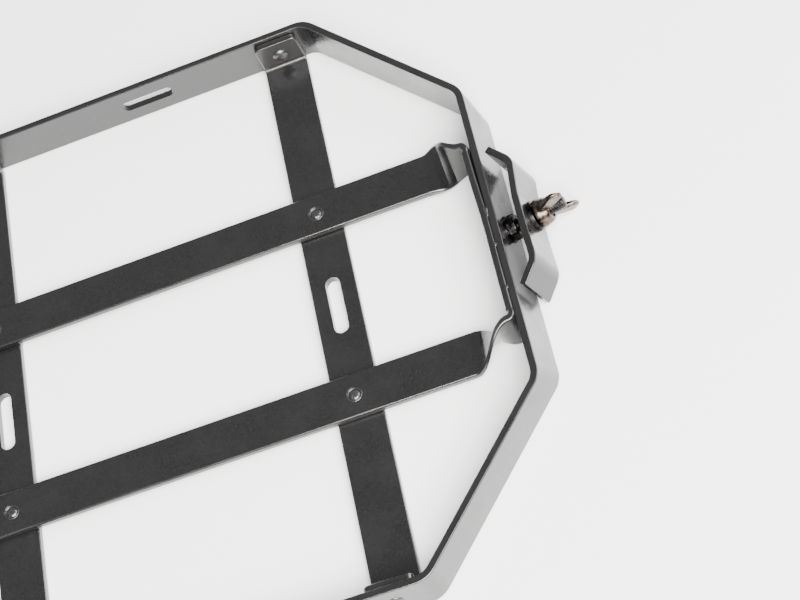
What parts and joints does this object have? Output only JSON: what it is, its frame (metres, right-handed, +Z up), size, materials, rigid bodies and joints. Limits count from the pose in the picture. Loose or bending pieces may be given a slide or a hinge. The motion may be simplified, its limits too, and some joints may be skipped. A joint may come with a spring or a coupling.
{
  "type": "folding luggage rack",
  "caption": "Flat-bar luggage rack platform, a long octagon with cross straps and a twisted slat loop, hinged at one end with a wing-nut clamp at the other.",
  "frame": {"origin": "middle of the platform's underside, at the centre of the middle strap's slot", "axes": "+X along the platform towards the clamp end, +Z up from the underside to the luggage side, +Y across"},
  "size_m": [0.5189, 0.2828, 0.0561],
  "materials": {
    "black_paint": "satin black powder coat with a fine grain",
    "dark_zinc": "dark passivated zinc, semi-bright"
  },
  "bodies": {
    "bracket": {"hinge_bracket": "black_paint", "hinge_pin": "dark_zinc", "pin_washers": "dark_zinc", "split_pin": "dark_zinc"},
    "platform": {"outer_frame": "black_paint", "slat_loop": "black_paint", "cross_strap_1": "black_paint", "cross_strap_2": "black_paint", "cross_strap_3": "black_paint", "slat_rivets": "black_paint", "tab_rivets": "black_paint", "slat_end_rivets": "black_paint", "lug_rivets": "black_paint", "clamp_stud": "dark_zinc", "tooth_washer": "dark_zinc", "stud_nut": "dark_zinc", "hinge_lug_left": "black_paint", "hinge_lug_right": "black_paint"},
    "clamp": {"clamp_plate": "black_paint", "flat_washer": "dark_zinc"},
    "wing_nut": {"wing_nut": "dark_zinc"}
  },
  "joints": [
    {"name": "platform_fold", "type": "hinge", "parent": "bracket", "child": "platform", "pos_m": [-0.241, 0, 0.01], "axis": [0, -1, 0], "range_deg": [0, 90]},
    {"name": "clamp_slide", "type": "slide", "parent": "platform", "child": "clamp", "axis": [0.9659, 0, 0.2588], "range_m": [-0.0004, 0.004]},
    {"name": "wing_nut_turn", "type": "hinge", "parent": "clamp", "child": "wing_nut", "pos_m": [0.2452, 0.002, 0.01362], "axis": [0.9659, 0, 0.2588], "range_deg": [-145, 1441]}
  ],
  "couplings": [
    {"joint": "wing_nut_turn", "follows": "clamp_slide", "rad_per_m": 6283.2}
  ]
}
